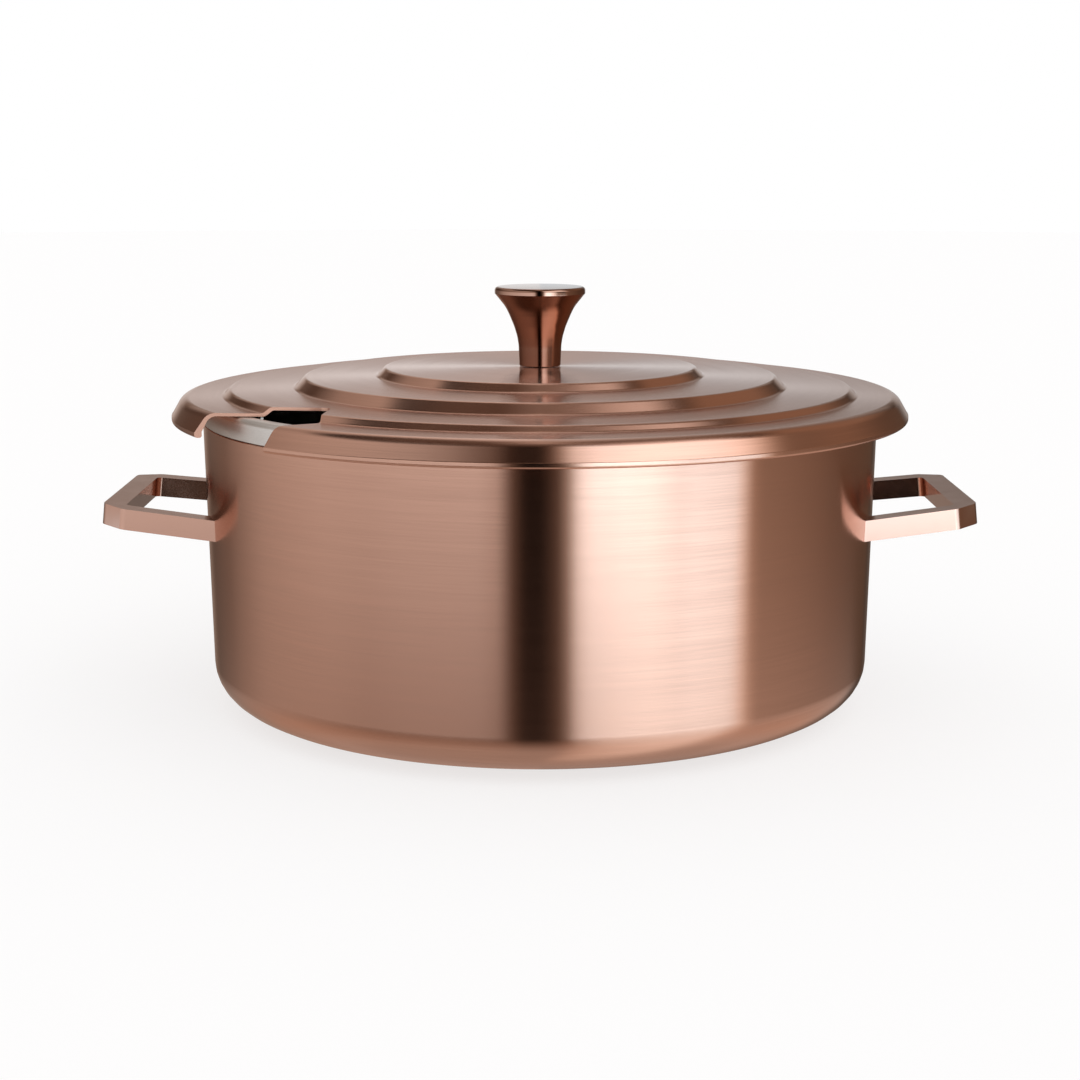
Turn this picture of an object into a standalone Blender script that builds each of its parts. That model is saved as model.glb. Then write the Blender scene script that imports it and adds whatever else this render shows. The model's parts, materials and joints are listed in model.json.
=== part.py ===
"""Soup chafing dish: a water-bath pot with two bar handles, a lift-out insert and a stepped lid.

Metres, +Z up. The origin is at the centre of the face that the dish stands on.
The handles lie along X, and the lid's ladle notch opens towards -X and -Y.
"""

from math import asin, atan2, cos, degrees, pi, radians, sin, sqrt, tan

import bmesh
import bpy
from mathutils import Matrix, Vector

# Gaps between pieces
GAP = 0.0003                    # between pieces that rest on each other
THIN_GAP = 0.00015              # between the small washers in a stack

# Facets around each turned piece, and how its mesh is finished
SHELL_SIDES = 64
KNOB_SIDES = 32
DISC_SIDES = 16
MERGE_DISTANCE = 0.00001
SHARP_ANGLE = radians(35)       # edges that turn more than this stay sharp

# Base: a steel cap with an aluminium disc in it, under the pot
CAP_RADIUS = 0.138
CAP_WALL = 0.0008
POT_UNDERSIDE = 0.004           # height of the pot's own bottom above the floor

# Water-bath pot
POT_TOP_RADIUS = 0.172
POT_LOW_RADIUS = 0.1697
POT_CORNER = 0.020
POT_WALL = 0.0012
POT_RIM = 0.1473                # height of the rim that carries the insert
RIM_LEDGE_RADIUS = 0.1652       # inner edge of the inward rim

# Lift-out insert
INSERT_RADIUS = 0.1642
INSERT_WALL = 0.001
INSERT_UNDERSIDE = 0.026
INSERT_CORNER = 0.024
COLLAR_TOP = 0.1583
COLLAR_ROUND = 0.002

# Lid, pressed from one sheet: edge radius and height of each flat, from the middle out
LID_SHEET = 0.0015
LID_FLATS = ((0.0797, 0.1725), (0.1205, 0.1684), (0.1583, 0.1632))
BRIM_HEIGHT = 0.1601
RISER_RUN = 0.0032              # how far out each step's slope reaches
RISER_EASE = 0.0008             # rounding at the top and foot of a slope
SHOULDER_START = 0.1785
SHOULDER_ROUND = 0.006
SHOULDER_TURN = radians(60)
SKIRT_LENGTH = 0.007
HEM_RADIUS = 0.1875
HEM_HEIGHT = 0.0029
HEM_WIDTH = 0.003
LID_HOLE = 0.0033

# Ladle notch, seen from above: its two inner corners and the angles at which its sides open
NOTCH_FAR_CORNER = (-0.0975, -0.0978)
NOTCH_NEAR_CORNER = (-0.1002, -0.1284)
NOTCH_FAR_ANGLE = radians(174.9)
NOTCH_NEAR_ANGLE = radians(206.5)
NOTCH_ROUND = 0.005
NOTCH_REACH = 0.12
NOTCH_CUT_HEIGHT = 0.05         # of its cutter, well past the lid and the ring

# Ring under the brim that centres the lid in the insert
GUIDE_RADIUS = 0.162
GUIDE_WALL = 0.001
GUIDE_HEIGHT = 0.008

# Knob: heights above the lid and radii of its turned outline
KNOB_STEM = ((0.0, 0.0106), (0.0105, 0.0110), (0.0150, 0.0117))
KNOB_TRUMPET = ((0.0200, 0.0132), (0.0260, 0.0157), (0.0300, 0.0176), (0.0335, 0.0204), (0.0365, 0.0228))
KNOB_LIP_RADIUS = 0.0232
KNOB_LIP_EASE = 0.0004
KNOB_HEIGHT = 0.0403
KNOB_CROWN = 0.0003
KNOB_BORE = 0.003
KNOB_BORE_DEPTH = 0.016

# Knob screw and its washer, under the lid
KNOB_SCREW_SHANK = 0.0027
KNOB_SCREW_HEAD = 0.0055
KNOB_HEAD_HEIGHT = 0.0032
KNOB_WASHER_RADIUS = 0.008
KNOB_WASHER_THICK = 0.0012
KNOB_SCREW_REACH = 0.013        # into the knob

# Handles: one bar bent into a loop, rising outward
BAR_HEIGHT = 0.0104
BAR_WIDTH = 0.011
BAR_EDGE = 0.0007
HANDLE_TILT = radians(6.2)
HANDLE_TILT_AT = 0.160          # distance from the axis where the bar's top has the height below
HANDLE_TOP = 0.1022
HANDLE_REACH = 0.219
ARM_OUTER_AT_WALL = 0.060       # half width of the loop at the wall
ARM_OUTER_AT_BEND = 0.0543
ARM_BEND = 0.2065
CORNER_HALF_WIDTH = 0.0455
ARM_START = 0.150               # inside the wall, cut back to it
HANDLE_BORE = 0.0025
HANDLE_BORE_DEPTH = 0.0095
WALL_CUT_REACH = 0.03           # above and below the handle, of the cutter that fits it to the wall

# Handle screws, washers and seals, inside the pot
SCREW_SHANK = 0.0022
SCREW_HEAD = 0.0047
SCREW_HEAD_HEIGHT = 0.0022
SCREW_REACH = 0.008             # past the outside of the pot's wall
SOCKET_ACROSS = 0.0030
SOCKET_DEPTH = 0.0012
WALL_HOLE = 0.0026
WALL_HOLE_LENGTH = 0.0096       # of its cutter, half of it inside the wall's outer face
SEAL_RADIUS = 0.0054
SEAL_THICK = 0.0008
WASHER_RADIUS = 0.0050
WASHER_THICK = 0.0006
WASHER_HOLE = 0.0026

# Button-head screws: outline of the domed head as shares of its radius and height, and the shank's tip
HEAD_DOME = ((1.0, 0.35), (0.86, 0.75), (0.62, 1.0))
TIP_EASE = 0.25                 # share of the shank's radius


def clear_scene():
    """Empty the scene that the file opens with."""
    for found in list(bpy.data.objects):
        bpy.data.objects.remove(found, do_unlink=True)


def make_collection(name):
    """Return a new collection linked to the scene."""
    collection = bpy.data.collections.new(name)
    bpy.context.scene.collection.children.link(collection)
    return collection


def make_material(name, colour, metallic, roughness):
    """Return a Principled material."""
    material = bpy.data.materials.new(name)
    material.use_nodes = True
    shader = material.node_tree.nodes["Principled BSDF"]
    shader.inputs["Base Color"].default_value = (*colour, 1.0)
    shader.inputs["Metallic"].default_value = metallic
    shader.inputs["Roughness"].default_value = roughness
    return material


def add_object(name, data, collection):
    """Return a new object in a collection."""
    made = bpy.data.objects.new(name, data)
    collection.objects.link(made)
    return made


def hide_cutter(cutter):
    """Mark an object as a cutter."""
    cutter.hide_render = True
    cutter.display_type = "WIRE"
    return cutter


def settle(made):
    """Turn an object's modifiers or curve into a plain smooth-shaded mesh."""
    depsgraph = bpy.context.evaluated_depsgraph_get()
    mesh = bpy.data.meshes.new_from_object(made.evaluated_get(depsgraph))
    mesh.name = made.name
    made.modifiers.clear()
    made.data = mesh
    mesh.shade_smooth()
    mesh.set_sharp_from_angle(angle=SHARP_ANGLE)
    return made


def turned(name, outline, sides, collection, closed):
    """Spin an outline of (radius, height) points about Z. It runs down its outer side."""
    points = [(radius, 0.0, height) for radius, height in outline]
    edges = [(index, index + 1) for index in range(len(points) - 1)]
    if closed:
        edges.append((len(points) - 1, 0))
    mesh = bpy.data.meshes.new(name)
    mesh.from_pydata(points, edges, [])
    made = add_object(name, mesh, collection)
    screw = made.modifiers.new("spin", "SCREW")
    screw.angle = 2 * pi
    screw.steps = sides
    screw.render_steps = sides
    screw.use_merge_vertices = True
    screw.merge_threshold = MERGE_DISTANCE
    return made


def cut(made, cutter):
    """Take a cutter's shape out of an object."""
    boolean = made.modifiers.new("cut", "BOOLEAN")
    boolean.operation = "DIFFERENCE"
    boolean.solver = "EXACT"
    boolean.object = cutter


def slab(name, outline, thickness, collection):
    """Return a flat piece with an (x, y) outline, centred on Z = 0, as a closed mesh."""
    curve = bpy.data.curves.new(name, "CURVE")
    curve.dimensions = "2D"
    curve.fill_mode = "BOTH"
    curve.extrude = thickness / 2
    spline = curve.splines.new("POLY")
    spline.points.add(len(outline) - 1)
    for point, (x, y) in zip(spline.points, outline):
        point.co = (x, y, 0.0, 1.0)
    spline.use_cyclic_u = True
    drawn = add_object(name + "_outline", curve, collection)
    bpy.context.view_layer.update()
    depsgraph = bpy.context.evaluated_depsgraph_get()
    mesh = bpy.data.meshes.new_from_object(drawn.evaluated_get(depsgraph))
    bpy.data.objects.remove(drawn, do_unlink=True)
    weld(mesh)
    return add_object(name, mesh, collection)


def weld(mesh):
    """Join a mesh's loose caps to its sides."""
    work = bmesh.new()
    work.from_mesh(mesh)
    bmesh.ops.remove_doubles(work, verts=work.verts, dist=MERGE_DISTANCE)
    bmesh.ops.recalc_face_normals(work, faces=work.faces)
    work.to_mesh(mesh)
    work.free()


def cylinder(name, radius, height, sides, collection):
    """Return a cylinder along Z with its middle at the origin."""
    work = bmesh.new()
    bmesh.ops.create_cone(work, cap_ends=True, segments=sides, radius1=radius, radius2=radius, depth=height)
    mesh = bpy.data.meshes.new(name)
    work.to_mesh(mesh)
    work.free()
    return add_object(name, mesh, collection)


def arc(centre, radius, start, end, steps):
    """Return points along an arc, in angles from +X."""
    return [
        (centre[0] + radius * cos(start + (end - start) * step / steps),
         centre[1] + radius * sin(start + (end - start) * step / steps))
        for step in range(steps + 1)
    ]


def pot_radius(height):
    """Outer radius of the pot's tapered wall at a height."""
    low = POT_UNDERSIDE + POT_CORNER
    return POT_LOW_RADIUS + (POT_TOP_RADIUS - POT_LOW_RADIUS) * (height - low) / (POT_RIM - low)


def make_pot(parts):
    """Return the water-bath pot: tapered wall, round bottom corner and inward rim."""
    wall_in = POT_CORNER - POT_WALL
    low = POT_UNDERSIDE + POT_CORNER
    floor = POT_UNDERSIDE + POT_WALL
    under_rim = POT_RIM - POT_WALL
    rim_ease = POT_WALL / 2
    corner = (POT_LOW_RADIUS - POT_CORNER, low)
    outline = [(0.0, floor)]
    outline += arc(corner, wall_in, -pi / 2, 0.0, steps=4)
    outline += [
        (POT_TOP_RADIUS - POT_WALL, under_rim),
        (RIM_LEDGE_RADIUS, under_rim),
        (RIM_LEDGE_RADIUS, POT_RIM),
        (POT_TOP_RADIUS - rim_ease, POT_RIM),
        (POT_TOP_RADIUS, POT_RIM - rim_ease),
    ]
    outline += arc(corner, POT_CORNER, 0.0, -pi / 2, steps=6)
    outline.append((0.0, POT_UNDERSIDE))
    return turned("outer_pot", outline, SHELL_SIDES, parts, closed=False)


def make_base(parts):
    """Return the aluminium disc and the steel cap that closes it in."""
    top = POT_UNDERSIDE - GAP
    inside = CAP_RADIUS - CAP_WALL
    cap = turned("base_cap", [
        (0.0, CAP_WALL), (inside, CAP_WALL), (inside, top), (CAP_RADIUS, top),
        (CAP_RADIUS, CAP_WALL), (inside, 0.0), (0.0, 0.0),
    ], SHELL_SIDES, parts, closed=False)
    core_radius = inside - GAP
    core = turned("base_core", [
        (0.0, top), (core_radius, top), (core_radius, CAP_WALL + GAP), (0.0, CAP_WALL + GAP),
    ], SHELL_SIDES, parts, closed=False)
    return cap, core


def make_insert(parts):
    """Return the food insert: a straight pot whose rim turns out and down into a collar."""
    inside = INSERT_RADIUS - INSERT_WALL
    corner = (INSERT_RADIUS - INSERT_CORNER, INSERT_UNDERSIDE + INSERT_CORNER)
    under_top = COLLAR_TOP - INSERT_WALL
    collar_foot = POT_RIM + GAP
    collar_in = POT_TOP_RADIUS - INSERT_WALL
    mouth_round = COLLAR_ROUND - INSERT_WALL / 2
    inner_round = COLLAR_ROUND - INSERT_WALL
    outline = [(0.0, INSERT_UNDERSIDE + INSERT_WALL)]
    mouth = (inside + mouth_round, COLLAR_TOP - mouth_round)
    shoulder = (POT_TOP_RADIUS - COLLAR_ROUND, COLLAR_TOP - COLLAR_ROUND)
    outline += arc(corner, INSERT_CORNER - INSERT_WALL, -pi / 2, 0.0, steps=4)
    outline += arc(mouth, mouth_round, pi, pi / 2, steps=2)
    outline += arc(shoulder, COLLAR_ROUND, pi / 2, 0.0, steps=3)
    outline += [(POT_TOP_RADIUS, collar_foot), (collar_in, collar_foot)]
    outline += [(collar_in, under_top - inner_round), (collar_in - inner_round, under_top)]
    outline += [(INSERT_RADIUS + inner_round, under_top), (INSERT_RADIUS, under_top - inner_round)]
    outline += arc(corner, INSERT_CORNER, 0.0, -pi / 2, steps=5)
    outline.append((0.0, INSERT_UNDERSIDE))
    return turned("soup_insert", outline, SHELL_SIDES, parts, closed=False)


def lid_outline():
    """Return the lid's section: out over the steps, down the skirt, round the hem and back underneath."""
    heights = [height for _, height in LID_FLATS] + [BRIM_HEIGHT]
    over = [(LID_HOLE, heights[0])]
    under = [(LID_HOLE, heights[0] - LID_SHEET)]
    for (edge, height), below in zip(LID_FLATS, heights[1:]):
        over += [
            (edge - RISER_EASE, height), (edge, height - RISER_EASE / 2),
            (edge + RISER_RUN - RISER_EASE, below + RISER_EASE / 2), (edge + RISER_RUN, below),
        ]
        under += [
            (edge - RISER_EASE - LID_SHEET / 2, height - LID_SHEET),
            (edge + RISER_RUN - LID_SHEET / 2, below - LID_SHEET),
        ]
    centre = (SHOULDER_START, BRIM_HEIGHT - SHOULDER_ROUND)
    over += arc(centre, SHOULDER_ROUND, pi / 2, pi / 2 - SHOULDER_TURN, steps=4)
    under += arc(centre, SHOULDER_ROUND - LID_SHEET, pi / 2, pi / 2 - SHOULDER_TURN, steps=3)
    slope = (sin(pi / 2 - SHOULDER_TURN) * SKIRT_LENGTH, cos(pi / 2 - SHOULDER_TURN) * SKIRT_LENGTH)
    foot = (over[-1][0] + slope[0], over[-1][1] - slope[1])
    hem_foot = foot[1] - HEM_HEIGHT
    over += [foot, (HEM_RADIUS, foot[1] - GAP), (HEM_RADIUS, hem_foot)]
    under += [(HEM_RADIUS - HEM_WIDTH, foot[1]), (HEM_RADIUS - HEM_WIDTH, hem_foot)]
    return over + under[::-1]


def notch_outline():
    """Return the notch seen from above, its two inner corners rounded."""
    far, near = Vector(NOTCH_FAR_CORNER), Vector(NOTCH_NEAR_CORNER)
    far_side = Vector((cos(NOTCH_FAR_ANGLE), sin(NOTCH_FAR_ANGLE)))
    near_side = Vector((cos(NOTCH_NEAR_ANGLE), sin(NOTCH_NEAR_ANGLE)))
    across = (near - far).normalized()
    points = [far + far_side * NOTCH_REACH]
    points += rounded_corner(far, far_side, across)
    points += rounded_corner(near, -across, near_side)
    points.append(near + near_side * NOTCH_REACH)
    return [tuple(point) for point in points]


def rounded_corner(corner, back, forward, steps=4):
    """Return points that round a corner between the ways back and forward from it."""
    half = back.angle(forward) / 2
    centre = corner + (back + forward).normalized() * NOTCH_ROUND / sin(half)
    first = corner + back * NOTCH_ROUND / tan(half) - centre
    last = corner + forward * NOTCH_ROUND / tan(half) - centre
    start = atan2(first.y, first.x)
    sweep = (atan2(last.y, last.x) - start + pi) % (2 * pi) - pi
    return [Vector(point) for point in arc(centre, NOTCH_ROUND, start, start + sweep, steps)]


def make_lid(parts, cutters):
    """Return the lid and the ring under it, both open at the ladle notch."""
    notch = hide_cutter(slab("notch_cutter", notch_outline(), NOTCH_CUT_HEIGHT, cutters))
    notch.location.z = BRIM_HEIGHT
    lid = turned("lid", lid_outline(), SHELL_SIDES, parts, closed=True)
    cut(lid, notch)
    top = BRIM_HEIGHT - LID_SHEET - GAP
    foot = top - GUIDE_HEIGHT
    inside = GUIDE_RADIUS - GUIDE_WALL
    ring = turned("lid_guide_ring", [
        (inside, top), (GUIDE_RADIUS, top), (GUIDE_RADIUS, foot), (inside, foot),
    ], SHELL_SIDES, parts, closed=True)
    cut(ring, notch)
    return lid, ring


def make_knob(parts):
    """Return the turned knob with a blind bore in its foot."""
    base = LID_FLATS[0][1] + GAP
    top = base + KNOB_HEIGHT
    lip_foot = base + KNOB_TRUMPET[-1][0] + KNOB_LIP_EASE
    outline = [
        (0.0, top + KNOB_CROWN),
        (KNOB_LIP_RADIUS / 2, top + KNOB_CROWN * 3 / 4),
        (KNOB_LIP_RADIUS - KNOB_LIP_EASE, top),
        (KNOB_LIP_RADIUS, top - KNOB_LIP_EASE),
        (KNOB_LIP_RADIUS, lip_foot),
    ]
    outline += [(radius, base + height) for height, radius in reversed(KNOB_STEM + KNOB_TRUMPET)]
    bore_end = base + KNOB_BORE_DEPTH
    outline += [(KNOB_BORE, base), (KNOB_BORE, bore_end), (0.0, bore_end + KNOB_BORE / 2)]
    return turned("lid_knob", outline, KNOB_SIDES, parts, closed=False)


def make_washer(name, hole, radius, thickness, parts):
    """Return a flat ring along Z, its top face at Z = 0."""
    return turned(name, [
        (hole, 0.0), (radius, 0.0), (radius, -thickness), (hole, -thickness),
    ], DISC_SIDES, parts, closed=True)


def make_screw(name, shank, length, head, head_height, parts, cutters):
    """Return a button-head screw along Z: shank up from Z = 0, domed head with a hexagon socket below."""
    tip = shank * TIP_EASE
    outline = [(0.0, length), (shank - tip, length), (shank, length - tip), (shank, 0.0), (head, 0.0)]
    outline += [(head * across, -head_height * down) for across, down in HEAD_DOME]
    outline.append((0.0, -head_height))
    screw = turned(name, outline, DISC_SIDES, parts, closed=False)
    socket_corner = SOCKET_ACROSS / 2 / cos(pi / 6)
    socket = hide_cutter(cylinder(name + "_socket", socket_corner, 2 * SOCKET_DEPTH, 6, cutters))
    socket.parent = screw
    socket.location.z = -head_height
    cut(screw, socket)
    return screw


def make_knob_fixing(parts, cutters):
    """Return the screw and washer under the lid that hold the knob."""
    washer_top = LID_FLATS[0][1] - LID_SHEET - THIN_GAP
    washer = make_washer("knob_washer", LID_HOLE, KNOB_WASHER_RADIUS, KNOB_WASHER_THICK, parts)
    washer.location.z = washer_top
    head_top = washer_top - KNOB_WASHER_THICK - THIN_GAP
    length = LID_FLATS[0][1] + GAP + KNOB_SCREW_REACH - head_top
    screw = make_screw(
        "knob_screw", KNOB_SCREW_SHANK, length, KNOB_SCREW_HEAD, KNOB_HEAD_HEIGHT, parts, cutters
    )
    screw.location.z = head_top
    return screw, washer


def arm_slope():
    """Angle by which each arm draws in towards the middle on its way out."""
    return atan2(ARM_OUTER_AT_WALL - ARM_OUTER_AT_BEND, ARM_BEND - HANDLE_TILT_AT)


def arm_outer(x):
    """Half width of the handle's loop, outside, at a distance from the axis."""
    return ARM_OUTER_AT_WALL - (x - HANDLE_TILT_AT) * tan(arm_slope())


def arm_inner(x):
    """Half width of the handle's loop, inside, at a distance from the axis."""
    return arm_outer(x) - BAR_WIDTH / cos(arm_slope())


def screw_angle():
    """Angle from X of the radial line that meets the arm's middle halfway along its bore."""
    height = HANDLE_TOP - BAR_HEIGHT / 2
    reach = pot_radius(height) + HANDLE_BORE_DEPTH / 2
    middle = (arm_outer(HANDLE_TILT_AT) + arm_inner(HANDLE_TILT_AT)) / 2
    for _ in range(8):  # settles in a few rounds
        x = sqrt(reach ** 2 - middle ** 2)
        middle = (arm_outer(x) + arm_inner(x)) / 2
    return asin(middle / reach)


def make_handle(name, side, parts, cutters):
    """Return one bar handle, at +X for side 1 and at -X for side -1."""
    inside = HANDLE_REACH - BAR_WIDTH
    half = [
        (ARM_START, arm_outer(ARM_START)), (ARM_BEND, ARM_OUTER_AT_BEND), (HANDLE_REACH, CORNER_HALF_WIDTH),
    ]
    back = [(inside, arm_inner(inside)), (ARM_START, arm_inner(ARM_START))]
    outline = half + [(x, -y) for x, y in reversed(half)]
    outline += [(x, -y) for x, y in reversed(back)] + back
    handle = slab(name, outline, BAR_HEIGHT, parts)
    tilt = Matrix.Rotation(-HANDLE_TILT, 4, "Y")
    pivot = Matrix.Translation((HANDLE_TILT_AT, 0.0, HANDLE_TOP - BAR_HEIGHT / 2))
    lift = Matrix.Translation((0.0, 0.0, HANDLE_TOP - BAR_HEIGHT / 2))
    handle.data.transform(pivot @ tilt @ pivot.inverted() @ lift)
    bevel = handle.modifiers.new("edges", "BEVEL")
    bevel.width = BAR_EDGE
    bevel.segments = 2
    bevel.limit_method = "ANGLE"
    low, high = HANDLE_TOP - WALL_CUT_REACH, HANDLE_TOP + WALL_CUT_REACH
    wall = hide_cutter(turned(name + "_wall_cutter", [
        (0.0, high), (pot_radius(high) + GAP, high), (pot_radius(low) + GAP, low), (0.0, low),
    ], SHELL_SIDES, cutters, closed=False))
    cut(handle, wall)
    wall.parent = handle
    for end in (1, -1):
        bore = cylinder(f"{name}_bore_{end}", HANDLE_BORE, 2 * HANDLE_BORE_DEPTH, DISC_SIDES, cutters)
        hide_cutter(bore).matrix_world = radial_place(end * screw_angle(), pot_radius(HANDLE_TOP))
        bore.parent = handle
        cut(handle, bore)
    handle.rotation_euler.z = 0.0 if side > 0 else pi
    return handle


def radial_place(angle, radius):
    """Return a place on a radial line at the screws' height, with its Z pointing out along the line."""
    height = HANDLE_TOP - BAR_HEIGHT / 2
    spin = Matrix.Rotation(angle, 4, "Z") @ Matrix.Rotation(pi / 2, 4, "Y")
    return Matrix.Translation((radius * cos(angle), radius * sin(angle), height)) @ spin


def make_handle_fixings(side_name, side, pot, parts, cutters):
    """Make the two screws of one handle with their washers, seals and holes in the pot's wall."""
    made = []
    outside = pot_radius(HANDLE_TOP - BAR_HEIGHT / 2)
    seal_face = outside - POT_WALL - GAP
    washer_face = seal_face - SEAL_THICK - THIN_GAP
    head_face = washer_face - WASHER_THICK - THIN_GAP
    for end_name, end in (("front", -1), ("back", 1)):
        angle = end * screw_angle() if side > 0 else pi - end * screw_angle()
        tag = f"{side_name}_{end_name}"
        seal = make_washer("handle_seal_" + tag, WASHER_HOLE, SEAL_RADIUS, SEAL_THICK, parts)
        seal.matrix_world = radial_place(angle, seal_face)
        washer = make_washer("handle_washer_" + tag, WASHER_HOLE, WASHER_RADIUS, WASHER_THICK, parts)
        washer.matrix_world = radial_place(angle, washer_face)
        screw = make_screw(
            "handle_screw_" + tag, SCREW_SHANK, outside + SCREW_REACH - head_face,
            SCREW_HEAD, SCREW_HEAD_HEIGHT, parts, cutters,
        )
        screw.matrix_world = radial_place(angle, head_face)
        hole = hide_cutter(cylinder(f"wall_hole_{tag}", WALL_HOLE, WALL_HOLE_LENGTH, DISC_SIDES, cutters))
        hole.matrix_world = radial_place(angle, outside)
        cut(pot, hole)
        made += [seal, washer, screw]
    return made


def main():
    """Build the whole dish."""
    clear_scene()
    parts = make_collection("soup_chafing_dish")
    cutters = make_collection("cutters")
    satin_copper = make_material("satin_copper_coat", (0.52, 0.30, 0.22), 1.0, 0.34)
    bright_copper = make_material("bright_copper_coat", (0.60, 0.33, 0.24), 1.0, 0.14)
    bare_steel = make_material("bare_steel", (0.60, 0.57, 0.56), 1.0, 0.28)
    aluminium = make_material("aluminium", (0.62, 0.62, 0.63), 1.0, 0.42)
    silicone = make_material("seal_rubber", (0.22, 0.21, 0.20), 0.0, 0.60)

    pot = make_pot(parts)
    cap, core = make_base(parts)
    insert = make_insert(parts)
    lid, ring = make_lid(parts, cutters)
    knob = make_knob(parts)
    knob_screw, knob_washer = make_knob_fixing(parts, cutters)
    handles = [make_handle("handle_right", 1, parts, cutters), make_handle("handle_left", -1, parts, cutters)]
    fixings = make_handle_fixings("right", 1, pot, parts, cutters)
    fixings += make_handle_fixings("left", -1, pot, parts, cutters)

    finishes = {
        satin_copper: [pot, lid], bright_copper: [knob, *handles],
        bare_steel: [cap, insert, ring, knob_screw, knob_washer], aluminium: [core], silicone: [],
    }
    for piece in fixings:
        finishes[silicone if piece.name.startswith("handle_seal") else bare_steel].append(piece)
    bpy.context.view_layer.update()
    for material, pieces in finishes.items():
        for piece in pieces:
            settle(piece)
            piece.data.materials.clear()
            piece.data.materials.append(material)
    print("handle screws at", round(degrees(screw_angle()), 1), "degrees from the handles' line")


main()
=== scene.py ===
# %% [markdown]
# # A copper-coloured soup station
#
# The object is a round buffet dish for soup. A pot with two bar handles holds hot water, an insert
# hangs in it with the soup, and a stepped lid with a ladle notch lies on top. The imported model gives
# the frame: every piece here takes its place from it, and moves with one of its three bodies.

# %% Load the frame
import json
from math import asin, atan2, cos, degrees, pi, radians, sin, sqrt, tan

import bmesh
import bpy
from mathutils import Matrix, Vector


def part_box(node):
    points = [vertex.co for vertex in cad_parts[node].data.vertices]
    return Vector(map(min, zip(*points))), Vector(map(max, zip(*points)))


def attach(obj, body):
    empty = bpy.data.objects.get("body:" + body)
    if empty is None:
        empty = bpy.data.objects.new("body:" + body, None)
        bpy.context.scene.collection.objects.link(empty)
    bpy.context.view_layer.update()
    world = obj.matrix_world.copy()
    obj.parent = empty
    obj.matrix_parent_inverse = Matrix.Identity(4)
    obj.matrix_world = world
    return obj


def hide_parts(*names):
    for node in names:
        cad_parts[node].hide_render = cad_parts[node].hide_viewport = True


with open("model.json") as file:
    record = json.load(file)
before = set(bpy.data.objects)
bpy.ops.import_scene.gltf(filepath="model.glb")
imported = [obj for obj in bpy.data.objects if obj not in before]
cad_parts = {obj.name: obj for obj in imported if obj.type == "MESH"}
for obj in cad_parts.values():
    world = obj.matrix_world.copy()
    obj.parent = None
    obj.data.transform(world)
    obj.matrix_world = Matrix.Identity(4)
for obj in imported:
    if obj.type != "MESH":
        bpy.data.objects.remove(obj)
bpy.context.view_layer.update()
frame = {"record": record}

# %% [markdown]
# ## Camera
#
# The photograph looks slightly down at the dish from about a metre away. The place, the tilt and the
# lens were fitted to the outlines of the pot's wall and of the lid's steps, which are all circles, so
# they fix the height of the eye and its distance well.

# %% Place the camera
EYE_DISTANCE = 1.042
EYE_HEIGHT = 0.284
LOOK_DOWN = radians(11.02)
LENS = 67.6                     # millimetres
SENSOR_WIDTH = 36.0             # millimetres


def placed(name, data):
    """Return a new object in the scene."""
    made = bpy.data.objects.new(name, data)
    bpy.context.scene.collection.objects.link(made)
    return made


camera = placed("camera", bpy.data.cameras.new("camera"))
camera.data.lens = LENS
camera.data.sensor_width = SENSOR_WIDTH
camera.location = (0.0, -EYE_DISTANCE, EYE_HEIGHT)
camera.rotation_euler = (pi / 2 - LOOK_DOWN, 0.0, 0.0)
bpy.context.scene.camera = camera
bpy.context.scene.view_settings.view_transform = "Standard"
print("the eye is", round(degrees(atan2(EYE_HEIGHT, EYE_DISTANCE)), 1), "degrees above the table")

# %% [markdown]
# ## How the round pieces are made
#
# Pot, insert, lid, knob and the small round parts are pressed, spun or turned, so each is one section
# carried round the upright axis. A Screw modifier could do that. A Geometry Nodes tree is used instead,
# because it also rounds each corner of the section by that corner's own radius, and it writes a UV map
# whose V is the length along the section in metres. The brushed finishes read it, so that their lines
# follow the metal over steps and round corners.

# %% A helper for nodes
def add(tree, kind, inputs=None, **settings):
    """Add a node. Settings are its properties, and inputs give values or other nodes' sockets."""
    node = tree.nodes.new(kind)
    for name, value in settings.items():
        setattr(node, name, value)
    for key, value in (inputs or {}).items():
        if isinstance(value, bpy.types.NodeSocket):
            tree.links.new(value, node.inputs[key])
        else:
            node.inputs[key].default_value = value
    return node


def new_tree(name, sockets):
    """Return a Geometry Nodes tree with named inputs, those inputs, and its output node."""
    tree = bpy.data.node_groups.new(name, "GeometryNodeTree")
    tree.interface.new_socket("Geometry", in_out="INPUT", socket_type="NodeSocketGeometry")
    for socket_name, socket_type in sockets:
        tree.interface.new_socket(socket_name, in_out="INPUT", socket_type="NodeSocket" + socket_type)
    tree.interface.new_socket("Geometry", in_out="OUTPUT", socket_type="NodeSocketGeometry")
    return tree, add(tree, "NodeGroupInput").outputs, add(tree, "NodeGroupOutput")


def end_tree(tree, geometry, material, output):
    """End a tree with its copies made real and its material set."""
    real = add(tree, "GeometryNodeRealizeInstances", {"Geometry": geometry}).outputs[0]
    add(tree, "GeometryNodeSetMaterial", {"Geometry": real, "Material": material})
    tree.links.new(tree.nodes[-1].outputs[0], output.inputs[0])
    print("the tree", tree.name, "has", len(tree.nodes), "nodes")


# %% The turning tree: round the corners of the section
MERGE_DISTANCE = 0.000002       # joins the sheet's two ends, and its points on the axis

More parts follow.
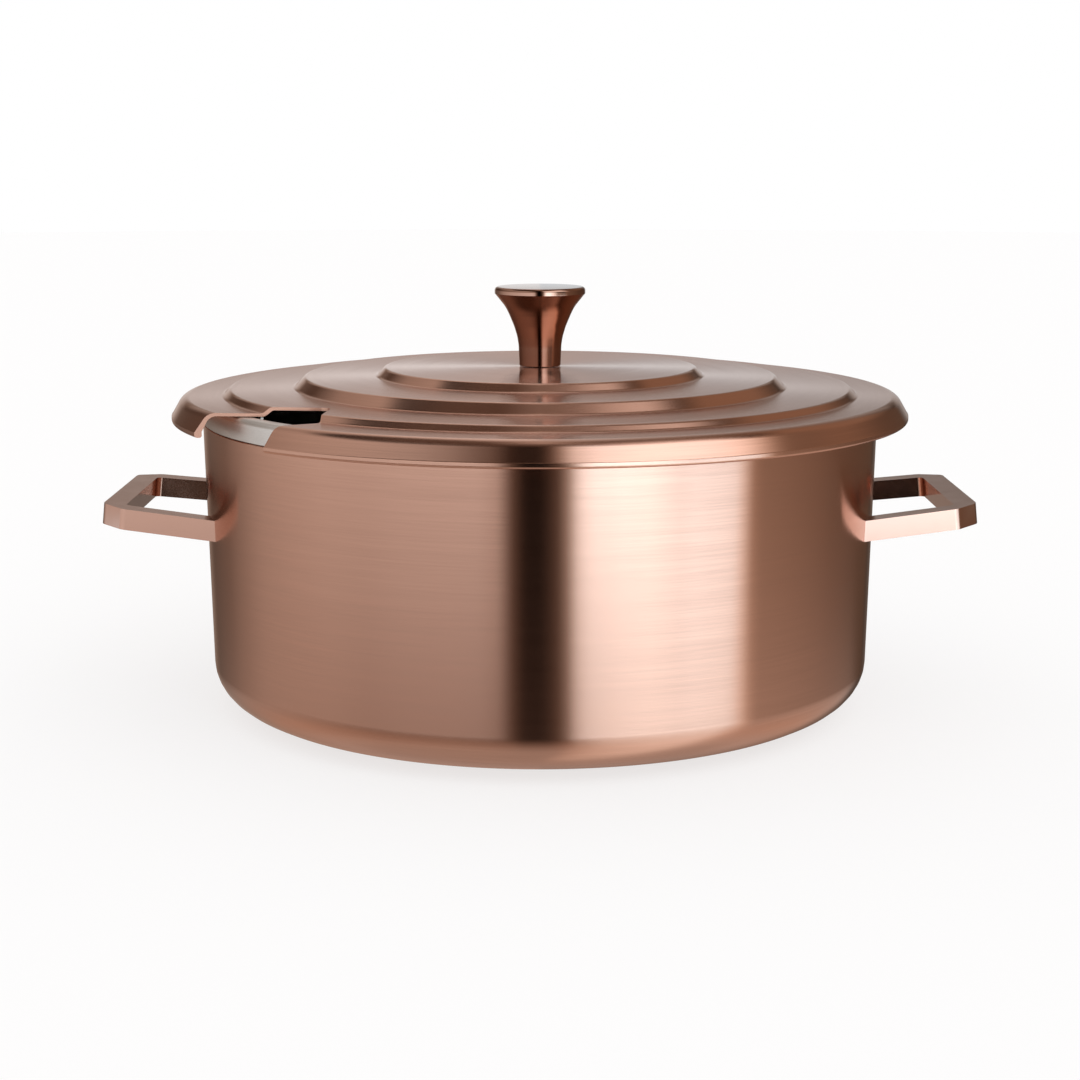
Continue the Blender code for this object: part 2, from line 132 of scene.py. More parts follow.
turning, given, output = new_tree("turned piece", [
    ("Section", "Object"), ("Closed", "Int"), ("Sides", "Int"), ("Rounding steps", "Int"),
    ("Material", "Material"),
])
drawn = add(turning, "GeometryNodeObjectInfo", {"Object": given["Section"]}).outputs["Geometry"]
own_radius = add(turning, "GeometryNodeInputRadius").outputs[0]
rounded = add(turning, "GeometryNodeFilletCurve", {
    "Curve": drawn, "Count": given["Rounding steps"], "Radius": own_radius, "Limit Radius": True,
}, mode="POLY").outputs[0]
sizes = add(turning, "GeometryNodeAttributeDomainSize", {"Geometry": rounded}, component="CURVE")
count = sizes.outputs["Point Count"]

# %% The turning tree: which point of the section each point of the sheet follows
sums = "FunctionNodeIntegerMath"
rows = add(turning, sums, {0: count, 1: given["Closed"]}, operation="ADD").outputs[0]
columns = add(turning, sums, {0: given["Sides"], 1: 1}, operation="ADD").outputs[0]
sheet = add(turning, "GeometryNodeMeshGrid", {"Vertices X": columns, "Vertices Y": rows}).outputs["Mesh"]
index = add(turning, "GeometryNodeInputIndex").outputs[0]
column = add(turning, sums, {0: index, 1: rows}, operation="DIVIDE_FLOOR").outputs[0]
row = add(turning, sums, {0: index, 1: rows}, operation="FLOORED_MODULO").outputs[0]
point = add(turning, sums, {0: row, 1: count}, operation="FLOORED_MODULO").outputs[0]
place = add(turning, "GeometryNodeInputPosition").outputs[0]
length = add(turning, "GeometryNodeSplineParameter").outputs["Length"]
along, spot = [
    add(turning, "GeometryNodeSampleIndex", {"Geometry": rounded, "Value": value, "Index": point},
        data_type=kind).outputs[0]
    for value, kind in ((length, "FLOAT"), (place, "FLOAT_VECTOR"))
]

# %% The turning tree: carry the sheet round, map it and close it
share = add(turning, "ShaderNodeMath", {0: column, 1: given["Sides"]}, operation="DIVIDE").outputs[0]
angle = add(turning, "ShaderNodeMath", {0: share, 1: 2 * pi}, operation="MULTIPLY").outputs[0]
carried = add(turning, "ShaderNodeVectorRotate", {"Vector": spot, "Angle": angle},
              rotation_type="Z_AXIS").outputs[0]
shaped = add(turning, "GeometryNodeSetPosition", {"Geometry": sheet, "Position": carried}).outputs[0]
share_and_along = add(turning, "ShaderNodeCombineXYZ", {"X": share, "Y": along}).outputs[0]
noted = add(turning, "GeometryNodeStoreNamedAttribute", {
    "Geometry": shaped, "Name": "place on section", "Value": share_and_along,
}, data_type="FLOAT_VECTOR", domain="POINT").outputs[0]
read_back = add(turning, "GeometryNodeInputNamedAttribute", {"Name": "place on section"},
                data_type="FLOAT_VECTOR").outputs[0]
mapped = add(turning, "GeometryNodeStoreNamedAttribute", {
    "Geometry": noted, "Name": "surface", "Value": read_back,
}, data_type="FLOAT2", domain="CORNER").outputs[0]
bare = add(turning, "GeometryNodeRemoveAttribute", {
    "Geometry": mapped, "Name": "place on section",
}).outputs[0]
merged = add(turning, "GeometryNodeMergeByDistance", {
    "Geometry": bare, "Distance": MERGE_DISTANCE,
}).outputs[0]
end_tree(turning, merged, given["Material"], output)

# %% Functions that make a plain mesh of a tree's result
SHARP_ANGLE = radians(32)
LARGE_FACES_LEAD = 100          # weight at which the large faces alone set the shading's direction


def settled(made):
    """Turn an object's modifiers into its plain mesh."""
    bpy.context.view_layer.update()
    mesh = bpy.data.meshes.new_from_object(made.evaluated_get(bpy.context.evaluated_depsgraph_get()))
    mesh.name = made.name
    finish = [material for material in mesh.materials if material]
    mesh.materials.clear()          # drops empty slots, and points every face to the first one left
    for material in finish:
        mesh.materials.append(material)
    made.modifiers.clear()
    made.data = mesh
    return made


def smoothed(made):
    """Shade a mesh smooth but for its sharp edges, its flats keeping their own direction."""
    made.data.shade_smooth()
    made.data.set_sharp_from_angle(angle=SHARP_ANGLE)
    weighted = made.modifiers.new("weighted normals", "WEIGHTED_NORMAL")
    weighted.keep_sharp = True
    weighted.weight = LARGE_FACES_LEAD
    return settled(made)


def set_inputs(modifier, tree, values):
    """Give a modifier its tree and that tree's inputs, found by name and set by identifier."""
    modifier.node_group = tree
    for item in tree.interface.items_tree:
        if item.in_out == "INPUT" and item.name in values:
            modifier[item.identifier] = values[item.name]


# %% A function that turns one piece
SHELL_SIDES = 256


def turned(name, section, material=None, closed=False, sides=SHELL_SIDES, steps=8):
    """Turn a section of (radius, height) corners, a third value being the corner's own rounding."""
    curve = bpy.data.curves.new(name + " section", "CURVE")
    curve.dimensions = "3D"
    spline = curve.splines.new("POLY")
    spline.points.add(len(section) - 1)
    for corner, (radius, height, *rounding) in zip(spline.points, section):
        corner.co = (radius, 0.0, height, 1.0)
        corner.radius = rounding[0] if rounding else 0.0
    spline.use_cyclic_u = closed
    drawing = placed(name + " section", curve)
    made = placed(name, bpy.data.meshes.new(name))
    set_inputs(made.modifiers.new("turned", "NODES"), turning, {
        "Section": drawing, "Closed": int(closed), "Sides": sides, "Rounding steps": steps,
        "Material": material,
    })
    settled(made)
    bpy.data.objects.remove(drawing, do_unlink=True)
    print(name, "has", len(made.data.polygons), "faces")
    return made


# %% [markdown]
# ## Finishes
#
# Everything is metal but the silicone seals. The copper colour is a coat about a micrometre thick,
# laid on stainless steel in a vacuum, so what shows is the steel's own surface, brushed or polished,
# in another colour. A brushed surface could be drawn with fine bump lines alone, but lines of a tenth
# of a millimetre are far below a pixel here. So the blur itself is made uneven: long across the lines,
# short along them. Noise stretched along the brushing then gives the few lines that the eye can see.

# %% Colours and new materials
def colour(code):
    """Turn an sRGB hex colour into linear values with an alpha of 1."""
    parts = [int(code[start:start + 2], 16) / 255 for start in (1, 3, 5)]
    linear = [part / 12.92 if part <= 0.04045 else ((part + 0.055) / 1.055) ** 2.4 for part in parts]
    return (*linear, 1.0)


def new_material(name):
    """Return a new material, its nodes and its shader."""
    material = bpy.data.materials.new(name)
    material.use_nodes = True
    return material, material.node_tree, material.node_tree.nodes["Principled BSDF"]


# %% Coordinates for brush lines
def brushed_way(tree, line_length, line_width):
    """Return coordinates in which noise of scale 1 draws lines of that length and width, in metres."""
    spot = add(tree, "ShaderNodeSeparateXYZ", {
        0: add(tree, "ShaderNodeTexCoord").outputs["Object"],
    }).outputs
    section = add(tree, "ShaderNodeSeparateXYZ", {
        0: add(tree, "ShaderNodeUVMap", uv_map="surface").outputs[0],
    }).outputs
    parts = [
        add(tree, "ShaderNodeMath", {0: value, 1: size}, operation="DIVIDE").outputs[0]
        for value, size in ((spot["X"], line_length), (spot["Y"], line_length), (section["Y"], line_width))
    ]
    return add(tree, "ShaderNodeCombineXYZ", dict(enumerate(parts))).outputs[0]


# %% Brushed metal
BROAD_LENGTH, BROAD_WIDTH = 4, 10     # of the broad lines, in lengths and widths of the fine ones
BROAD_SHARE = 0.35
LINE_LOW, LINE_HIGH = 0.35, 0.65      # noise at which a spot counts as a groove, and as a top
GROOVE_SHADE = 0.93
GROOVE_BLUR, TOP_BLUR = 1.08, 0.95    # shares of the finish's roughness
GROOVE_RELIEF = 0.3
ACROSS_THE_LINES = 0.25               # of a turn: the blur is long across the lines


def brushed_metal(name, tint, roughness, anisotropy, line_length, line_width, line_depth):
    """Return a metal brushed round the axis, with lines of those sizes in metres."""
    material, tree, shader = new_material(name)
    fine = add(tree, "ShaderNodeTexNoise", {
        "Vector": brushed_way(tree, line_length, line_width), "Scale": 1.0, "Detail": 3.0,
    }).outputs[0]
    broad = add(tree, "ShaderNodeTexNoise", {
        "Vector": brushed_way(tree, BROAD_LENGTH * line_length, BROAD_WIDTH * line_width),
        "Scale": 1.0, "Detail": 2.0,
    }).outputs[0]
    lines = add(tree, "ShaderNodeMix", {"Factor": BROAD_SHARE, "A": fine, "B": broad}).outputs[0]
    strength = add(tree, "ShaderNodeMapRange", {
        "Value": lines, "From Min": LINE_LOW, "From Max": LINE_HIGH,
    }).outputs[0]
    base = colour(tint)
    darker = (*[part * GROOVE_SHADE for part in base[:3]], 1.0)
    shade = add(tree, "ShaderNodeMix", {0: strength, 6: darker, 7: base}, data_type="RGBA").outputs[2]
    blur = add(tree, "ShaderNodeMapRange", {
        "Value": strength, "To Min": roughness * GROOVE_BLUR, "To Max": roughness * TOP_BLUR,
    }).outputs[0]
    grooves = add(tree, "ShaderNodeBump", {
        "Height": fine, "Strength": GROOVE_RELIEF, "Distance": line_depth,
    }).outputs[0]
    round_the_axis = add(tree, "ShaderNodeTangent", direction_type="RADIAL", axis="Z").outputs[0]
    for socket, value in (("Base Color", shade), ("Roughness", blur), ("Normal", grooves),
                          ("Tangent", round_the_axis)):
        tree.links.new(value, shader.inputs[socket])
    shader.inputs["Metallic"].default_value = 1.0
    shader.inputs["Anisotropic"].default_value = anisotropy
    shader.inputs["Anisotropic Rotation"].default_value = ACROSS_THE_LINES
    return material


# Stainless steel brushed to a satin with a belt of about 180 grit, then coated. The lines are drawn
# 0.6 mm apart, many times coarser than the real ones, so that a few of them show. To the eye it is a
# brown-pink metal whose highlights run up and down as soft bands.
satin_copper = brushed_metal(
    "satin copper coat on brushed steel", "#DAAA95", roughness=0.172, anisotropy=1.0,
    line_length=0.045, line_width=0.0006, line_depth=0.000003,
)
# The same brushing with no coat: a cooler, greyer metal with a wider blur.
satin_steel = brushed_metal(
    "brushed stainless steel", "#D9D5D2", roughness=0.30, anisotropy=0.8,
    line_length=0.040, line_width=0.0004, line_depth=0.000003,
)
# The insert is blasted to a fine pale matt, which doesn't show scratches from a ladle.
matt_steel = brushed_metal(
    "blasted stainless steel", "#F6F4F2", roughness=0.34, anisotropy=0.3,
    line_length=0.002, line_width=0.0004, line_depth=0.000003,
)

# %% Polished metal
HAZE_SCALE = 110.0                    # clouds of about 9 mm, as a polishing wheel leaves them
HAZE_LOW, HAZE_HIGH = 0.2, 0.8
CLEAR_BLUR, HAZY_BLUR = 0.8, 1.2      # shares of the finish's roughness
WAVE_RELIEF = 0.5
# Paler edges are partly wear and partly a painted highlight.
WEAR_AND_HIGHLIGHT_START, WEAR_AND_HIGHLIGHT_FULL = 0.52, 0.62    # pointiness of an edge
WEAR_AND_HIGHLIGHT_PALER = 0.15


def polished_metal(name, tint, roughness, wave_size, wave_depth):
    """Return a metal polished or turned smooth, with faint waves of that size in metres."""
    material, tree, shader = new_material(name)
    on_piece = add(tree, "ShaderNodeTexCoord").outputs["Object"]
    haze = add(tree, "ShaderNodeTexNoise", {
        "Vector": on_piece, "Scale": HAZE_SCALE, "Detail": 5.0,
    }).outputs[0]
    blur = add(tree, "ShaderNodeMapRange", {
        "Value": haze, "From Min": HAZE_LOW, "From Max": HAZE_HIGH,
        "To Min": roughness * CLEAR_BLUR, "To Max": roughness * HAZY_BLUR,
    }).outputs[0]
    waves = add(tree, "ShaderNodeTexNoise", {"Vector": on_piece, "Scale": 1 / wave_size}).outputs[0]
    relief = add(tree, "ShaderNodeBump", {
        "Height": waves, "Strength": WAVE_RELIEF, "Distance": wave_depth,
    }).outputs[0]
    # Edges that stick out are painted paler: partly wear from cloths and hands, partly a painted highlight
    # along them.
    edge = add(tree, "ShaderNodeNewGeometry").outputs["Pointiness"]
    wear_and_highlight = add(tree, "ShaderNodeMapRange", {
        "Value": edge, "From Min": WEAR_AND_HIGHLIGHT_START, "From Max": WEAR_AND_HIGHLIGHT_FULL,
    }).outputs[0]
    base = colour(tint)
    paler = (*[part + (1.0 - part) * WEAR_AND_HIGHLIGHT_PALER for part in base[:3]], 1.0)
    shade = add(tree, "ShaderNodeMix", {0: wear_and_highlight, 6: base, 7: paler}, data_type="RGBA").outputs[2]
    for socket, value in (("Base Color", shade), ("Roughness", blur), ("Normal", relief)):
        tree.links.new(value, shader.inputs[socket])
    shader.inputs["Metallic"].default_value = 1.0
    return material


# The same coat on steel polished by hand: clear reflections with soft edges, which waver a little.
bright_copper = polished_metal(
    "copper coat on polished steel", "#BC9280", roughness=0.16, wave_size=0.012, wave_depth=0.000006
)
# The knob is turned and polished finer, and its coat is thicker: sharp reflections in a deeper colour.
deep_copper = polished_metal(
    "deep copper coat on turned steel", "#AB8371", roughness=0.08, wave_size=0.012, wave_depth=0.000006
)
# Stainless steel as it comes off the lathe: a grey with a short, broken shine.
turned_steel = polished_metal(
    "turned stainless steel", "#CBC8C6", roughness=0.24, wave_size=0.004, wave_depth=0.00001
)
# Rolled aluminium sheet, uncoated: pale and dull.
rolled_aluminium = polished_metal(
    "rolled aluminium", "#D6D6D8", roughness=0.42, wave_size=0.006, wave_depth=0.00001
)

# %% Silicone
TOOTH_SCALE = 3000.0                  # a third of a millimetre from one grain to the next
TOOTH_RELIEF, TOOTH_DEPTH = 0.3, 0.00005
CLOUD_SCALE = 400.0                   # clouds of 2.5 mm
CLOUD_SHADE = 0.85
SILICONE_ROUGHNESS = 0.62


def moulded_silicone(name, tint):
    """Return a matt rubber with the fine tooth of its mould."""
    material, tree, shader = new_material(name)
    on_piece = add(tree, "ShaderNodeTexCoord").outputs["Object"]
    tooth = add(tree, "ShaderNodeTexNoise", {
        "Vector": on_piece, "Scale": TOOTH_SCALE, "Detail": 2.0,
    }).outputs[0]
    cloud = add(tree, "ShaderNodeTexNoise", {"Vector": on_piece, "Scale": CLOUD_SCALE}).outputs[0]
    base = colour(tint)
    darker = (*[part * CLOUD_SHADE for part in base[:3]], 1.0)
    shade = add(tree, "ShaderNodeMix", {0: cloud, 6: base, 7: darker}, data_type="RGBA").outputs[2]
    relief = add(tree, "ShaderNodeBump", {
        "Height": tooth, "Strength": TOOTH_RELIEF, "Distance": TOOTH_DEPTH,
    }).outputs[0]
    tree.links.new(shade, shader.inputs["Base Color"])
    tree.links.new(relief, shader.inputs["Normal"])
    shader.inputs["Roughness"].default_value = SILICONE_ROUGHNESS
    return material


# Heat-proof silicone, pressed in a mould: a soft grey without shine.
silicone = moulded_silicone("moulded silicone", "#7D7B77")
print("finishes:", ", ".join(material.name for material in bpy.data.materials))

# %% [markdown]
# ## Pieces
#
# Each piece below is made at its real size, takes the body of the CAD node that it stands for, and
# hides that node. One function does the last part for all of them.

# %% A function that finishes a piece
record = frame["record"]
body_of_node = {node: body for body, nodes in record["behaviour"]["bodies"].items() for node in nodes}


def finished(piece, *nodes):
    """Smooth a piece, put it on its body and let it stand for its nodes."""
    smoothed(piece)
    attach(piece, body_of_node[nodes[0]])
    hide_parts(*nodes)
    print(piece.name, "stands for", ", ".join(nodes))


# %% [markdown]
# ### Water pot
#
# The pot is deep-drawn from a steel disc. Its wall widens by 2 mm on the way up, so that it leaves the
# punch, and its rim is turned in to carry the insert. Four small holes take the handle screws. Narrow
# rings of faces above and below them keep the cuts from disturbing the wall's smooth shading.

# %% Sizes of the pot
POT_WALL = 0.0012
POT_CORNER = 0.020
POT_LOW_RADIUS = 0.1697
RIM_LEDGE_RADIUS = 0.1652
EDGE_ROUND = 0.0003             # on small turned and pressed edges
pot_low, pot_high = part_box("outer_pot")
pot_top_radius, rim, underside = pot_high.x, pot_high.z, pot_low.z
taper = (pot_top_radius - POT_LOW_RADIUS) / (rim - underside - POT_CORNER)
print("the pot's wall leans out by", round(degrees(atan2(taper, 1.0)), 2), "degrees")


def pot_radius(height):
    """Outer radius of the pot's tapered wall at a height."""
    return POT_LOW_RADIUS + taper * (height - underside - POT_CORNER)


# %% Turn the pot
HOLE_RINGS = (0.089, 0.090, 0.1040, 0.1050)
pot_floor = underside + POT_WALL
section = [(0.0, pot_floor), (pot_radius(pot_floor) - POT_WALL, pot_floor, POT_CORNER - POT_WALL)]
section += [(pot_radius(height) - POT_WALL, height) for height in HOLE_RINGS]
section += [
    (pot_top_radius - POT_WALL, rim - POT_WALL, POT_WALL / 2),
    (RIM_LEDGE_RADIUS, rim - POT_WALL, EDGE_ROUND), (RIM_LEDGE_RADIUS, rim, EDGE_ROUND),
    (pot_top_radius, rim, POT_WALL / 2),
]
section += [(pot_radius(height), height) for height in reversed(HOLE_RINGS)]
section += [(pot_radius(underside), underside, POT_CORNER), (0.0, underside)]
pot = turned("water_pot", section, satin_copper)

# %% [markdown]
# ### Base
#
# An aluminium disc under the pot spreads the heat, and a magnetic steel cap pressed over it closes it
# in and works on an induction hob.

# %% Turn the base
CAP_WALL = 0.0008
_, cap_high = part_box("base_cap")
core_low, core_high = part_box("base_core")
cap_inside = cap_high.x - CAP_WALL
cap = turned("base_cap_shell", [
    (0.0, CAP_WALL), (cap_inside, CAP_WALL, EDGE_ROUND), (cap_inside, cap_high.z, EDGE_ROUND),
    (cap_high.x, cap_high.z, EDGE_ROUND), (cap_high.x, 0.0, CAP_WALL), (0.0, 0.0),
], satin_steel)
disc = turned("heat_disc", [
    (0.0, core_high.z), (core_high.x, core_high.z, EDGE_ROUND), (core_high.x, core_low.z, EDGE_ROUND),
    (0.0, core_low.z),
], rolled_aluminium)
finished(cap, "base_cap")
finished(disc, "base_core")

# %% [markdown]
# ### Food insert
#
# The insert stays bare steel, because it touches the food. Its mouth turns out and down into a collar
# that stands on the pot's rim. The collar is the pale band that shows in the lid's notch.

# %% Turn the insert
INSERT_RADIUS = 0.1642
INSERT_WALL = 0.001
INSERT_CORNER = 0.024
COLLAR_ROUND = 0.003
COLLAR_GAP = 0.0003             # between the collar and the pot's rim
insert_low, insert_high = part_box("soup_insert")
collar_top, collar_foot = insert_high.z, rim + COLLAR_GAP
insert_inside, collar_inside = INSERT_RADIUS - INSERT_WALL, insert_high.x - INSERT_WALL
insert = turned("food_insert", [
    (0.0, insert_low.z + INSERT_WALL),
    (insert_inside, insert_low.z + INSERT_WALL, INSERT_CORNER - INSERT_WALL),
    (insert_inside, collar_top, COLLAR_ROUND - INSERT_WALL / 2), (insert_high.x, collar_top, COLLAR_ROUND),
    (insert_high.x, collar_foot, EDGE_ROUND), (collar_inside, collar_foot, EDGE_ROUND),
    (collar_inside, collar_top - INSERT_WALL, COLLAR_ROUND - INSERT_WALL),
    (INSERT_RADIUS, collar_top - INSERT_WALL, COLLAR_ROUND - INSERT_WALL),
    (INSERT_RADIUS, insert_low.z, INSERT_CORNER), (0.0, insert_low.z),
], matt_steel)
finished(insert, "soup_insert")

# %% [markdown]
# ### Lid
#
# The lid is pressed from one sheet: a middle plateau, two more flats and a brim, each a few
# millimetres lower, then a flared skirt with its edge folded into a hem. One section gives all of it.
# The steps keep the thin sheet from rattling, and the hem makes its edge safe to touch.

# %% The lid's section
LID_SHEET = 0.0015
LID_FLATS = ((0.0797, 0.1725), (0.1205, 0.1684), (0.1583, 0.1632))   # edge radius and height
BRIM_HEIGHT = 0.1601
RISER_SLOPE = radians(46)
STEP_ROUND = 0.0026
SHOULDER_START = 0.1785
SHOULDER_ROUND = 0.006
SHOULDER_TURN = radians(60)
SKIRT_LENGTH = 0.007
HEM_HEIGHT = 0.0029
HEM_WIDTH = 0.003
HEM_ROUND = 0.0012
LID_HOLE = 0.0033
_, lid_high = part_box("lid")
shoulder = SHOULDER_START + SHOULDER_ROUND * tan(SHOULDER_TURN / 2)
skirt_run = SKIRT_LENGTH + SHOULDER_ROUND * tan(SHOULDER_TURN / 2)
skirt_foot = (shoulder + skirt_run * cos(SHOULDER_TURN), BRIM_HEIGHT - skirt_run * sin(SHOULDER_TURN))
hem_foot = skirt_foot[1] - HEM_HEIGHT
heights = [height for _, height in LID_FLATS] + [BRIM_HEIGHT]
over = [(LID_HOLE, heights[0])]
under = [(LID_HOLE, heights[0] - LID_SHEET)]
for (edge, height), below in zip(LID_FLATS, heights[1:]):
    foot = edge + (height - below) / tan(RISER_SLOPE)
    over += [(edge, height, STEP_ROUND), (foot, below, STEP_ROUND)]
    under += [(edge - LID_SHEET / 2, height - LID_SHEET, STEP_ROUND / 2),
              (foot - LID_SHEET / 2, below - LID_SHEET, STEP_ROUND)]
over += [(shoulder, BRIM_HEIGHT, SHOULDER_ROUND), skirt_foot,
         (lid_high.x, skirt_foot[1] - EDGE_ROUND, EDGE_ROUND), (lid_high.x, hem_foot, HEM_ROUND)]
under += [(shoulder - LID_SHEET / 2, BRIM_HEIGHT - LID_SHEET, SHOULDER_ROUND - LID_SHEET),
          (lid_high.x - HEM_WIDTH, skirt_foot[1], EDGE_ROUND),
          (lid_high.x - HEM_WIDTH, hem_foot, HEM_ROUND)]
print("the lid's section has", len(over + under), "corners")

# %% Turn the lid and the ring that centres it
GUIDE_WALL = 0.001
ring_low, ring_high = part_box("lid_guide_ring")
lid = turned("stepped_lid", over + under[::-1], satin_copper, closed=True)
ring = turned("centring_ring", [
    (ring_high.x - GUIDE_WALL, ring_high.z, EDGE_ROUND), (ring_high.x, ring_high.z, EDGE_ROUND),
    (ring_high.x, ring_low.z, EDGE_ROUND), (ring_high.x - GUIDE_WALL, ring_low.z, EDGE_ROUND),
], satin_steel, closed=True)

# %% [markdown]
# ### Ladle notch
#
# The notch is punched out of the pressed lid, and the ring under it is open at the same place. Seen
# from above its sides run apart towards the rim, and its two inner corners are round. The cutter is
# that outline as a filled flat curve with a thickness, taken out with a Boolean.

# %% Functions for flat outlines and cuts
def rounded_outline(corners, steps=6):
    """Round the corners of a closed outline, each given as (x, y, radius of its rounding)."""
    points = []
    for number, (x, y, radius) in enumerate(corners):
        corner = Vector((x, y))
        back = (Vector(corners[number - 1][:2]) - corner).normalized()
        ahead = (Vector(corners[(number + 1) % len(corners)][:2]) - corner).normalized()
        half = back.angle(ahead) / 2
        centre = corner + (back + ahead).normalized() * radius / sin(half)
        first = corner + back * radius / tan(half) - centre
        last = corner + ahead * radius / tan(half) - centre
        start = atan2(first.y, first.x)
        sweep = (atan2(last.y, last.x) - start + pi) % (2 * pi) - pi
        angles = [start + sweep * step / steps for step in range(steps + 1)]
        arc = [centre + radius * Vector((cos(turn), sin(turn))) for turn in angles]
        points += arc if radius else [corner]
    return points


def slab(name, outline, thickness):
    """Return a flat piece with that outline, centred on Z = 0, as a closed mesh."""
    curve = bpy.data.curves.new(name, "CURVE")
    curve.dimensions = "2D"
    curve.fill_mode = "BOTH"
    curve.extrude = thickness / 2
    spline = curve.splines.new("POLY")
    spline.points.add(len(outline) - 1)
    for corner, (x, y) in zip(spline.points, outline):
        corner.co = (x, y, 0.0, 1.0)
    spline.use_cyclic_u = True
    drawing = placed(name + " outline", curve)
    bpy.context.view_layer.update()
    mesh = bpy.data.meshes.new_from_object(drawing.evaluated_get(bpy.context.evaluated_depsgraph_get()))
    bpy.data.objects.remove(drawing, do_unlink=True)
    work = bmesh.new()
    work.from_mesh(mesh)
    bmesh.ops.remove_doubles(work, verts=work.verts, dist=MERGE_DISTANCE)
    bmesh.ops.recalc_face_normals(work, faces=work.faces)
    work.to_mesh(mesh)
    work.free()
    return placed(name, mesh)


def cut(made, *cutters):
    """Take the cutters' shapes out of a piece."""
    for cutter in cutters:
        boolean = made.modifiers.new("cut", "BOOLEAN")
        boolean.operation = "DIFFERENCE"
        boolean.solver = "EXACT"
        boolean.object = cutter
    return settled(made)


def discard(*cutters):
    """Remove cutters once they have been used."""
    for cutter in cutters:
        bpy.data.objects.remove(cutter, do_unlink=True)


# %% Draw the notch and cut it
NOTCH_FAR_CORNER = Vector((-0.0975, -0.0978))
NOTCH_NEAR_CORNER = Vector((-0.1002, -0.1284))
NOTCH_FAR_ANGLE = radians(174.9)
NOTCH_NEAR_ANGLE = radians(206.5)
NOTCH_ROUND = 0.005
NOTCH_REACH = 0.12              # well past the lid's edge
NOTCH_CUT_HEIGHT = 0.05
far_end = NOTCH_FAR_CORNER + NOTCH_REACH * Vector((cos(NOTCH_FAR_ANGLE), sin(NOTCH_FAR_ANGLE)))
near_end = NOTCH_NEAR_CORNER + NOTCH_REACH * Vector((cos(NOTCH_NEAR_ANGLE), sin(NOTCH_NEAR_ANGLE)))
outline = rounded_outline([
    (*far_end, 0.0), (*NOTCH_FAR_CORNER, NOTCH_ROUND), (*NOTCH_NEAR_CORNER, NOTCH_ROUND), (*near_end, 0.0),
])
notch = slab("notch cutter", outline, NOTCH_CUT_HEIGHT)
notch.location.z = BRIM_HEIGHT
cut(lid, notch)
cut(ring, notch)
discard(notch)
finished(lid, "lid")
finished(ring, "lid_guide_ring")

# %% [markdown]
# ### Knob
#
# The knob is turned from a steel bar: a straight stem that flares like a trumpet to a thin lip, with
# an almost flat top. The roundings of its section are so long that they run into each other, which
# makes one smooth line of a few points. A blind bore in its foot takes the screw.

# %% Turn the knob
KNOB_STEM = ((0.0, 0.0106), (0.0105, 0.0110), (0.0150, 0.0117))      # height above its foot and radius
KNOB_TRUMPET = ((0.0200, 0.0132), (0.0260, 0.0157), (0.0300, 0.0176), (0.0335, 0.0204), (0.0365, 0.0228))
KNOB_LIP = 0.0034               # height of the straight band round the top
KNOB_LIP_ROUND = 0.0018
KNOB_CROWN = 0.0003
KNOB_EASE = 0.02                # longer than the section's sides, so that they blend
KNOB_BORE = 0.003
KNOB_BORE_DEPTH = 0.016
KNOB_SIDES = 128
knob_low, knob_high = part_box("lid_knob")
lip_top, bore_end = knob_high.z - KNOB_CROWN, knob_low.z + KNOB_BORE_DEPTH
section = [
    (0.0, knob_high.z), (knob_high.x / 2, lip_top + KNOB_CROWN / 2, KNOB_EASE),
    (knob_high.x, lip_top, KNOB_LIP_ROUND), (knob_high.x, lip_top - KNOB_LIP, KNOB_LIP_ROUND / 2),
]
section += [
    (radius, knob_low.z + height, KNOB_EASE) for height, radius in reversed(KNOB_STEM[1:] + KNOB_TRUMPET)
]
section += [(KNOB_STEM[0][1], knob_low.z, EDGE_ROUND), (KNOB_BORE, knob_low.z), (KNOB_BORE, bore_end),
            (0.0, bore_end + KNOB_BORE / 2)]
knob = turned("trumpet_knob", section, deep_copper, sides=KNOB_SIDES)
finished(knob, "lid_knob")

# %% [markdown]
# ### Handles
#
# Each handle is one square bar, bent and mitred into a loop that rises outward. A curve could carry a
# square along a path, but the corners here are flat facets. So the loop is an outline seen from above,
# given the bar's height, tilted, and bevelled on all its edges. A cutter with the wall's own taper
# shapes its two ends, and each end has a bore for a screw.

# %% Sizes of the handles
BAR_HEIGHT = 0.0104
BAR_WIDTH = 0.011
BAR_EDGE = 0.0009
HANDLE_TILT = radians(6.2)
HANDLE_TILT_AT = 0.160          # distance from the axis where the bar's top has the height below
HANDLE_TOP = 0.1022
HANDLE_REACH = 0.219
ARM_OUTER_AT_WALL = 0.060       # half width of the loop at the wall
ARM_OUTER_AT_BEND = 0.0543
ARM_BEND = 0.2075
CORNER_HALF_WIDTH = 0.0443
ARM_START = 0.150               # inside the wall, cut back to it
HANDLE_BORE = 0.0025
HANDLE_BORE_DEPTH = 0.0095
WALL_GAP = 0.0003
WALL_CUT_REACH = 0.03           # above and below the handle, of the cutter that fits it to the wall
bar_middle = HANDLE_TOP - BAR_HEIGHT / 2
arm_slope = atan2(ARM_OUTER_AT_WALL - ARM_OUTER_AT_BEND, ARM_BEND - HANDLE_TILT_AT)
print("each arm of a handle leans in by", round(degrees(arm_slope), 1), "degrees")


def arm_outer(x):
    """Half width of the handle's loop, outside, at a distance from the axis."""
    return ARM_OUTER_AT_WALL - (x - HANDLE_TILT_AT) * tan(arm_slope)


def arm_inner(x):
    """Half width of the handle's loop, inside, at a distance from the axis."""
    return arm_outer(x) - BAR_WIDTH / cos(arm_slope)


